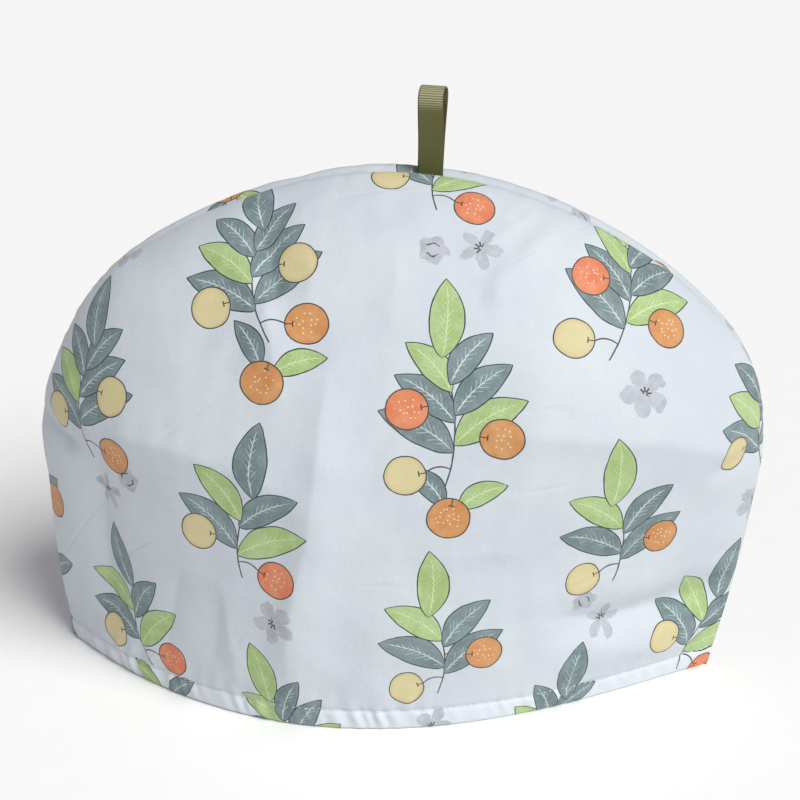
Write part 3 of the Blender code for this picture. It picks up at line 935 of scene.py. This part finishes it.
def draw_leaf(loom, along, aside, length, half, tone, seed):
    """A pointed leaf: watercolour fill, a pale midrib with slanting side veins, and a fine dark outline."""
    share = loom.reckon("MINIMUM", loom.reckon("MAXIMUM", loom.reckon("DIVIDE", along, length), 0.0), 1.0)
    base = loom.reckon("POWER", share, LEAF_BASE)
    tip = loom.reckon("POWER", loom.minus(1.0, share), LEAF_TIP)
    half_here = loom.times(loom.times(base, tip), loom.times(half, LEAF_FULLNESS))
    spot = loom.join(along, aside, loom.times(seed, 90.0))
    wobble = loom.times(loom.minus(loom.cloud(spot, 0.10, 1.0), 0.5), 1.1)
    past = loom.reckon("MAXIMUM", loom.reckon("MAXIMUM", loom.minus(along, length), loom.times(along, -1.0)), 0.0)
    off_axis = loom.unsigned(aside)
    swell = loom.times(wobble, loom.rise(half_here, 0.0, 2.0))
    inside = loom.minus(loom.plus(loom.minus(half_here, off_axis), swell), past)
    fill = loom.rise(inside, -SOFT_EDGE, SOFT_EDGE)
    pen = loom.plus(0.15, loom.times(loom.cloud(spot, 0.3, 1.0), 0.22))
    outline = loom.fall(loom.unsigned(inside), pen, loom.plus(pen, 0.12))

    shaky = loom.plus(aside, loom.times(wobble, 0.55))
    thick = loom.plus(0.09, loom.times(loom.minus(1.0, share), 0.16))
    midrib = loom.fall(loom.unsigned(shaky), thick, loom.plus(thick, 0.16))
    midrib = loom.times(midrib, loom.times(loom.rise(share, 0.03, 0.10), loom.fall(share, 0.82, 0.92)))
    off_rib = loom.unsigned(shaky)
    left = loom.reckon("GREATER_THAN", shaky, 0.0)
    run = loom.minus(along, loom.times(off_rib, 1.3))
    step = loom.plus(loom.reckon("DIVIDE", run, 2.9), loom.plus(loom.times(left, 0.45), seed))
    number = loom.plus(loom.reckon("FLOOR", step), loom.times(left, 47.0))
    luck = loom.chance(loom.plus(number, loom.times(seed, 613.0)))
    near = loom.unsigned(loom.minus(loom.reckon("FRACT", step), 0.5))
    side = loom.fall(loom.times(near, 1.8), 0.06, 0.20)
    reach = loom.times(half_here, loom.plus(0.12, loom.times(luck, 0.42)))
    side = loom.times(side, loom.reckon("LESS_THAN", off_rib, reach))
    side = loom.times(side, loom.times(loom.rise(share, 0.08, 0.14), loom.fall(share, 0.76, 0.84)))
    faint = loom.plus(0.50, loom.times(loom.rise(loom.cloud(spot, 0.35, 2.0), 0.35, 0.60), 0.50))
    veins = loom.times(loom.reckon("MAXIMUM", midrib, loom.times(side, 0.85)), faint)

    wash = loom.rise(loom.cloud(spot, 0.09, 3.0, 0.6), 0.30, 0.70)
    rim = loom.fall(inside, 0.3, 2.0)
    specks = loom.times(loom.rise(loom.cloud(spot, 2.2, 1.0), 0.50, 0.72), 0.55)
    light = loom.plus(loom.times(wash, 0.60), loom.times(rim, 0.15))
    light = loom.reckon("MINIMUM", loom.plus(light, specks), 1.0)
    sage = loom.mix(light, SAGE_DARK, SAGE_PALE)
    lime = loom.mix(light, LIME_DARK, LIME_PALE)
    ink = loom.mix(tone, sage, lime)
    ink = loom.mix(loom.times(veins, 0.92), ink, loom.mix(tone, SAGE_VEIN, LIME_VEIN))
    ink = loom.mix(outline, ink, OUTLINE_INK)
    return ink, loom.reckon("MAXIMUM", fill, outline)


def draw_fruit(loom, along, aside, radius, half, tone, seed):
    """A round fruit: watercolour fill, pale pips of light, a fine outline, and a T where its stalk meets it."""
    spot = loom.join(along, aside, loom.times(seed, 70.0))
    wobble = loom.times(loom.minus(loom.cloud(spot, 0.07, 1.0), 0.5), 2.0)
    from_middle = loom.hypotenuse(along, aside)
    inside = loom.plus(loom.minus(radius, from_middle), wobble)
    fill = loom.rise(inside, -SOFT_EDGE, SOFT_EDGE)
    pen = loom.plus(0.14, loom.times(loom.cloud(spot, 0.5, 1.0), 0.18))
    outline = loom.fall(loom.unsigned(inside), pen, loom.plus(pen, 0.14))
    bar = loom.reckon("LESS_THAN", loom.unsigned(aside), 1.4)
    set_in = loom.minus(along, loom.times(radius, 0.66))
    bar = loom.times(bar, loom.fall(loom.unsigned(set_in), 0.22, 0.40))
    post = loom.times(loom.fall(loom.unsigned(aside), 0.18, 0.34), loom.rise(set_in, -0.3, 0.0))
    mark = loom.times(loom.reckon("MAXIMUM", bar, post), fill)
    pips = loom.node("ShaderNodeTexVoronoi", voronoi_dimensions="2D")
    shifted = loom.plus(along, loom.times(seed, 90.0))
    loom.feed(pips.inputs["Vector"], loom.join(shifted, aside, 0.0))
    loom.feed(pips.inputs["Scale"], 0.36)
    loom.feed(pips.inputs["Randomness"], 0.7)
    dot = loom.fall(pips.outputs["Distance"], 0.11, 0.18)
    dot = loom.times(dot, loom.fall(from_middle, loom.times(radius, 0.55), loom.times(radius, 0.62)))
    dot = loom.times(dot, loom.rise(tone, 0.2, 0.3))
    ink = loom.mix(loom.rise(tone, 0.0, 0.5), YELLOW_INK, loom.mix(loom.rise(tone, 0.5, 1.0), ORANGE_INK, CORAL_INK))
    wash = loom.rise(loom.cloud(spot, 0.12, 3.0, 0.6), 0.35, 0.68)
    ink = loom.mix(loom.times(wash, 0.22), ink, FRUIT_WASH)
    ink = loom.mix(loom.times(loom.fall(inside, 0.4, 2.6), 0.16), ink, FRUIT_RIM)
    ink = loom.mix(loom.times(dot, 0.9), ink, DOT_INK)
    ink = loom.mix(loom.reckon("MAXIMUM", outline, mark), ink, OUTLINE_INK)
    return ink, loom.reckon("MAXIMUM", fill, outline)


def draw_blossom(loom, along, aside, radius, half, petal, seed):
    """A pale grey blossom of five petals, with a few dark stamens at its heart. A bud is small and round, with two
    pen strokes."""
    spot = loom.join(along, aside, loom.times(seed, 50.0))
    wobble = loom.minus(loom.cloud(spot, 0.22, 2.0), 0.5)
    from_middle = loom.hypotenuse(along, aside)
    angle = loom.reckon("ARCTAN2", aside, along)
    lobe = loom.unsigned(loom.reckon("COSINE", loom.plus(loom.times(angle, 2.5), loom.times(wobble, 1.6))))
    sharp = loom.plus(0.55, loom.times(petal, 1.6))
    bud = loom.rise(petal, 0.7, 0.9)
    lobe = loom.reckon("POWER", lobe, sharp)
    floor = loom.plus(0.30, loom.times(bud, 0.42))
    edge = loom.plus(floor, loom.times(lobe, loom.minus(0.92, floor)))
    edge = loom.plus(edge, loom.times(wobble, 0.34))
    share = loom.reckon("DIVIDE", from_middle, radius)
    cover = loom.times(loom.fall(share, loom.minus(edge, 0.02), loom.plus(edge, 0.01)), loom.fall(share, 0.97, 1.0))
    wash = loom.rise(loom.cloud(spot, 0.18, 3.0, 0.6), 0.3, 0.7)
    ink = loom.mix(wash, PETAL_DARK, PETAL_PALE)
    spoke = loom.unsigned(loom.minus(loom.reckon("FRACT", loom.plus(loom.times(angle, 1.27), seed)), 0.5))
    tick = loom.fall(loom.times(spoke, loom.times(from_middle, 0.8)), 0.30, 0.46)
    tick = loom.times(tick, loom.times(loom.rise(from_middle, 0.5, 0.8), loom.fall(from_middle, 2.9, 3.3)))
    tick = loom.times(tick, loom.reckon("GREATER_THAN", loom.plus(along, loom.times(aside, 0.4)), -0.6))
    tick = loom.times(tick, loom.minus(1.0, bud))
    ring = loom.fall(loom.unsigned(loom.minus(share, loom.plus(0.42, loom.times(wobble, 0.5)))), 0.02, 0.055)
    ring = loom.times(ring, loom.rise(loom.unsigned(loom.reckon("DIVIDE", aside, radius)), 0.18, 0.26))
    ring = loom.times(ring, bud)
    ink = loom.mix(loom.reckon("MAXIMUM", tick, ring), ink, OUTLINE_INK)
    return ink, cover


def draw_stem(loom, along, aside, length, half, tone, seed):
    """A fine pen line that swells and thins."""
    spot = loom.join(along, aside, loom.times(seed, 30.0))
    swell = loom.plus(half, loom.times(loom.minus(loom.cloud(spot, 0.3, 1.0), 0.5), 0.24))
    wobble = loom.times(loom.minus(loom.cloud(spot, 0.07, 1.0), 0.5), 1.2)
    line = loom.fall(loom.unsigned(loom.plus(aside, wobble)), swell, loom.plus(swell, 0.14))
    within = loom.times(loom.rise(along, -0.2, 0.0), loom.fall(along, length, loom.plus(length, 0.2)))
    return STEM_INK, loom.times(line, within)


def thread_weave(loom, sheet_mm, pitch, fuzz):
    """The height of a plain weave whose threads vary in thickness, from 0 to about 1."""
    x, y, _ = loom.split(sheet_mm)
    turn = 2 * math.pi / pitch
    warp = loom.cloud(loom.join(loom.times(x, 1.9), loom.times(y, 0.10), 0.0), 1.0, 2.0)
    weft = loom.cloud(loom.join(loom.times(x, 0.10), loom.times(y, 1.9), 7.0), 1.0, 2.0)
    over = loom.times(loom.reckon("SINE", loom.times(x, turn)), loom.reckon("SINE", loom.times(y, turn)))
    slubs = loom.times(loom.plus(warp, weft), fuzz)
    return loom.plus(loom.times(loom.plus(over, 1.0), 0.25), slubs), warp, weft


def new_finish(name):
    """A new material, a loom for its nodes, and its shader."""
    made = bpy.data.materials.new(name)
    made.use_nodes = True
    return made, Loom(made.node_tree), made.node_tree.nodes["Principled BSDF"]


# Cloth, ribbon and floor, as reflectances
COTTON_WHITE, COTTON_SHADE = (0.578, 0.632, 0.670), (0.535, 0.578, 0.632)
THREAD_LIGHT, TURNED_UP, HEM_DUST = (0.78, 0.82, 0.86), (0.80, 0.84, 0.89), (0.50, 0.50, 0.50)
THREAD_PITCH = 0.46  # of the cotton's weave, in millimetres
OLIVE_LOW, OLIVE_HIGH = (0.094, 0.094, 0.024), (0.108, 0.110, 0.029)
# Painted highlight over the top of the loop's bend, from the rib hollows to the rib tops
TOP_HIGHLIGHT_LOW, TOP_HIGHLIGHT_HIGH = (0.140, 0.126, 0.050), (0.480, 0.470, 0.300)
# Painted shade towards the loop's foot, then the colour of its warp threads
OLIVE_FOOT_SHADE, OLIVE_WARP = (0.060, 0.066, 0.014), (0.17, 0.17, 0.06)
# The selvedge's colour, then painted shade for the loop's inner side: browner and darker
SELVEDGE, OLIVE_INSIDE_SHADED = (0.040, 0.042, 0.010), (0.050, 0.034, 0.008)
RIBBON_WARP_PITCH = 0.36  # in millimetres
SEWING_SHADE, SEWING_LIGHT = (0.66, 0.69, 0.73), (0.82, 0.84, 0.87)
SEWING_TWIST = 0.0005
PAPER_SHADE, PAPER_LIGHT = (0.93, 0.93, 0.93), (0.96, 0.96, 0.96)


def printed_cotton():
    """White plain-weave cotton with the sprig print drawn on it."""
    made, loom, shader = new_finish("printed_cotton")
    cloth_map = loom.node("ShaderNodeUVMap", uv_map="cloth").outputs[0]
    to_mm = loom.node("ShaderNodeVectorMath", operation="SCALE")
    loom.feed(to_mm.inputs[0], cloth_map)
    loom.feed(to_mm.inputs["Scale"], 1000.0)
    sheet_mm = to_mm.outputs[0]
    weave, warp, weft = thread_weave(loom, sheet_mm, THREAD_PITCH, 0.5)
    tone = loom.cloud(sheet_mm, 0.016, 3.0)
    threads = loom.times(loom.plus(warp, weft), 0.5)
    colour = loom.mix(loom.rise(tone, 0.3, 0.75), COTTON_SHADE, COTTON_WHITE)
    colour = loom.mix(loom.times(loom.rise(threads, 0.38, 0.62), 0.06), colour, THREAD_LIGHT)
    place = loom.node("ShaderNodeTexCoord").outputs["Object"]
    _, _, height = loom.split(place)
    turned_up = loom.fall(height, HEM_BAND - 0.0008, HEM_BAND + 0.0008)
    colour = loom.mix(loom.times(turned_up, 0.30), colour, TURNED_UP)
    dust_and_highlight = loom.times(loom.fall(height, 0.0006, 0.0022), 0.30)
    colour = loom.mix(dust_and_highlight, colour, HEM_DUST)

    drawings = {
        "blossom": motif_group("printed_blossom", draw_blossom),
        "stem": motif_group("printed_stem", draw_stem),
        "leaf": motif_group("printed_leaf", draw_leaf),
        "fruit": motif_group("printed_fruit", draw_fruit),
    }
    for kind, drawing in drawings.items():
        for slot in range(SLOTS[kind]):
            motif = loom.node("ShaderNodeGroup", node_tree=drawing)
            at = loom.node("ShaderNodeAttribute", attribute_name=f"{kind}_{slot + 1}_place")
            how = loom.node("ShaderNodeAttribute", attribute_name=f"{kind}_{slot + 1}_look")
            loom.feed(motif.inputs["place"], at.outputs["Vector"])
            loom.feed(motif.inputs["look"], how.outputs["Color"])
            colour = loom.mix(motif.outputs["cover"], colour, motif.outputs["colour"])
    grain = loom.plus(0.96, loom.times(threads, 0.08))
    grey = loom.join(grain, grain, grain)
    colour = loom.mix(1.0, colour, grey, "MULTIPLY")
    loom.feed(shader.inputs["Base Color"], colour)
    loom.feed(shader.inputs["Roughness"], loom.plus(0.52, loom.times(threads, 0.2)))
    shader.inputs["Specular IOR Level"].default_value = 0.35
    shader.inputs["Sheen Weight"].default_value = 0.12
    shader.inputs["Sheen Roughness"].default_value = 0.4

    rumpled = loom.relief(loom.cloud(sheet_mm, 0.055, 4.0, 0.55), 0.0012, 0.55)
    sheet_x, sheet_y, _ = loom.split(sheet_mm)
    leaning = loom.plus(loom.times(sheet_x, 0.25), loom.times(sheet_y, 0.15))
    rising = loom.minus(loom.times(sheet_y, 0.9), loom.times(sheet_x, 0.5))
    skewed = loom.cloud(loom.join(leaning, rising, 0.0), 0.024, 0.0)
    crinkle = loom.rise(loom.unsigned(loom.minus(skewed, 0.5)), 0.0, 0.022)
    patchy = loom.rise(loom.cloud(sheet_mm, 0.017, 1.0), 0.48, 0.62)
    pressed = loom.relief(loom.times(crinkle, patchy), 0.00028, 0.6, rumpled)
    loom.feed(shader.inputs["Normal"], loom.relief(weave, 0.00008, 0.35, pressed))
    return made


def olive_grosgrain():
    """Olive ribbed ribbon: a dull warp lit along the tops of its ribs, with a painted highlight over the top of its
    bend, painted shade towards its foot, and painted shade on its browner inner side.
    """
    made, loom, shader = new_finish("olive_grosgrain")
    x, y, _ = loom.split(loom.node("ShaderNodeUVMap", uv_map="cloth").outputs[0])
    x, y = loom.times(x, 1000.0), loom.times(y, 1000.0)
    rib = loom.plus(0.5, loom.times(loom.reckon("COSINE", loom.times(y, 2 * math.pi / (RIB_PITCH * 1000))), 0.5))
    warp = loom.cloud(loom.join(loom.times(x, 3.2), loom.times(y, 0.25), 0.0), 1.0, 2.0)
    fine = loom.reckon("SINE", loom.times(x, 2 * math.pi / RIBBON_WARP_PITCH))
    inner = loom.reckon("GREATER_THAN", x, INNER_PLY * 500)
    height = loom.split(loom.node("ShaderNodeTexCoord").outputs["Object"])[2]
    # Painted highlight: the top of the loop's bend is painted paler, where light falls on it
    dust_and_highlight = loom.rise(height, CAD_HIGH[2] - 0.0120, CAD_HIGH[2] - 0.0050)
    colour = loom.mix(rib, OLIVE_LOW, OLIVE_HIGH)
    painted_highlight = loom.mix(rib, TOP_HIGHLIGHT_LOW, TOP_HIGHLIGHT_HIGH)
    colour = loom.mix(loom.times(dust_and_highlight, 0.9), colour, painted_highlight)
    # Painted shade: the loop is painted darker towards its foot
    foot_shade = loom.fall(height, CAD_HIGH[2] - 0.042, CAD_HIGH[2] - 0.022)
    colour = loom.mix(loom.times(foot_shade, 0.45), colour, OLIVE_FOOT_SHADE)
    colour = loom.mix(loom.times(loom.rise(warp, 0.35, 0.7), 0.15), colour, OLIVE_WARP)
    selvedge = loom.rise(loom.unsigned(x), 5.2, 5.7)
    selvedge = loom.times(selvedge, loom.minus(1.0, inner))
    colour = loom.mix(loom.times(selvedge, 0.5), colour, SELVEDGE)
    # Painted shade: the loop's inner side is painted browner and darker
    colour = loom.mix(loom.times(inner, 0.75), colour, OLIVE_INSIDE_SHADED)
    loom.feed(shader.inputs["Base Color"], colour)
    loom.feed(shader.inputs["Roughness"], loom.minus(0.46, loom.times(rib, 0.12)))
    shader.inputs["Specular IOR Level"].default_value = 0.4
    shader.inputs["Sheen Weight"].default_value = 0.10
    shader.inputs["Sheen Roughness"].default_value = 0.3
    threads = loom.plus(loom.times(fine, 0.3), warp)
    loom.feed(shader.inputs["Normal"], loom.relief(threads, 0.00012, 0.5))
    return made


def white_thread():
    """Twisted white sewing thread."""
    made, loom, shader = new_finish("white_thread")
    x, y, z = loom.split(loom.node("ShaderNodeTexCoord").outputs["Object"])
    lay = loom.reckon("SINE", loom.times(loom.plus(x, z), 2 * math.pi / SEWING_TWIST))
    colour = loom.mix(loom.plus(0.5, loom.times(lay, 0.5)), SEWING_SHADE, SEWING_LIGHT)
    loom.feed(shader.inputs["Base Color"], colour)
    shader.inputs["Roughness"].default_value = 0.6
    loom.feed(shader.inputs["Normal"], loom.relief(lay, 0.00005, 1.0))
    return made


def floor_paper():
    """The pale matt paper that the cosy stands on."""
    made, loom, shader = new_finish("floor_paper")
    grain = loom.cloud(loom.node("ShaderNodeTexCoord").outputs["Object"], 60.0, 3.0)
    loom.feed(shader.inputs["Base Color"], loom.mix(grain, PAPER_SHADE, PAPER_LIGHT))
    shader.inputs["Roughness"].default_value = 0.9
    shader.inputs["Specular IOR Level"].default_value = 0.1
    return made


# Camera and light
EYE = Vector((0.0701, -0.8181, 0.4887))
AIM = Vector((0.0010, 0.0000, 0.1445))
LENS = 80.0
SENSOR = 36
KEY_PLACE = Vector((0.51, -0.49, 0.73))
KEY_POWER = 3.10
KEY_SPREAD = math.radians(36)
KEY_COLOUR = (1.0, 0.99, 0.97)
AMBIENT = 0.29
AMBIENT_COLOUR = (0.96, 0.95, 1.0, 1)
FLOOR_SIZE = 30


def look_at(thing, aim):
    thing.rotation_euler = (aim - thing.location).to_track_quat("-Z", "Y").to_euler()


def photographer():
    camera = bpy.data.objects.new("camera", bpy.data.cameras.new("camera"))
    bpy.context.collection.objects.link(camera)
    camera.data.lens = LENS
    camera.data.sensor_width = SENSOR
    camera.data.clip_start = 0.05
    camera.location = EYE
    look_at(camera, AIM)
    bpy.context.scene.camera = camera


def key_light():
    """A large soft light, high up at the front right."""
    light = bpy.data.objects.new("key_light", bpy.data.lights.new("key_light", "SUN"))
    bpy.context.collection.objects.link(light)
    light.location = KEY_PLACE
    light.data.energy = KEY_POWER
    light.data.angle = KEY_SPREAD
    light.data.color = KEY_COLOUR
    look_at(light, Vector((0, 0, 0)))


def studio():
    """The pale floor, the soft surrounding light and the key light."""
    deselect_all()
    bpy.ops.mesh.primitive_plane_add(size=FLOOR_SIZE, location=(0, 0, 0))
    floor = bpy.context.object
    floor.name = "floor"
    floor.data.materials.append(floor_paper())
    world = bpy.data.worlds.new("studio")
    bpy.context.scene.world = world
    world.use_nodes = True
    sky = world.node_tree.nodes["Background"]
    sky.inputs["Color"].default_value = AMBIENT_COLOUR
    sky.inputs["Strength"].default_value = AMBIENT
    key_light()
    bpy.context.scene.view_settings.view_transform = "Standard"


def main():
    shift = resting_shift()
    photographer()
    studio()
    cotton, olive, thread = printed_cotton(), olive_grosgrain(), white_thread()

    front = cloth_panel("front_cloth", -1, shift, FRONT_LAYOUT)
    back = cloth_panel("back_cloth", 1, shift, BACK_LAYOUT)
    rim = front.points[::-1, -1]
    left_edge = RIBBON_X - RIBBON_WIDTH / 2
    rim_y, rim_z = (np.interp(left_edge, rim[:, 0], rim[:, axis]) for axis in (1, 2))
    seat = [0, rim_y + SEAM_GAP / 2, rim_z + RIBBON_SEAT]
    loop = grosgrain_loop("ribbon_loop", seat)
    panels = ((front, "front_panel", "front_hem_stitches"), (back, "back_panel", "back_hem_stitches"))
    for panel, node, label in panels:
        panel.obj.data.materials.append(cotton)
        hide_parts(node)
        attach(panel.obj, "root")
        stitches = hem_stitches(label, panel)
        stitches.data.materials.append(thread)
        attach(stitches, "root")
    loop.data.materials.append(olive)
    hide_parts("hanging_loop")
    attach(loop, "root")


main()
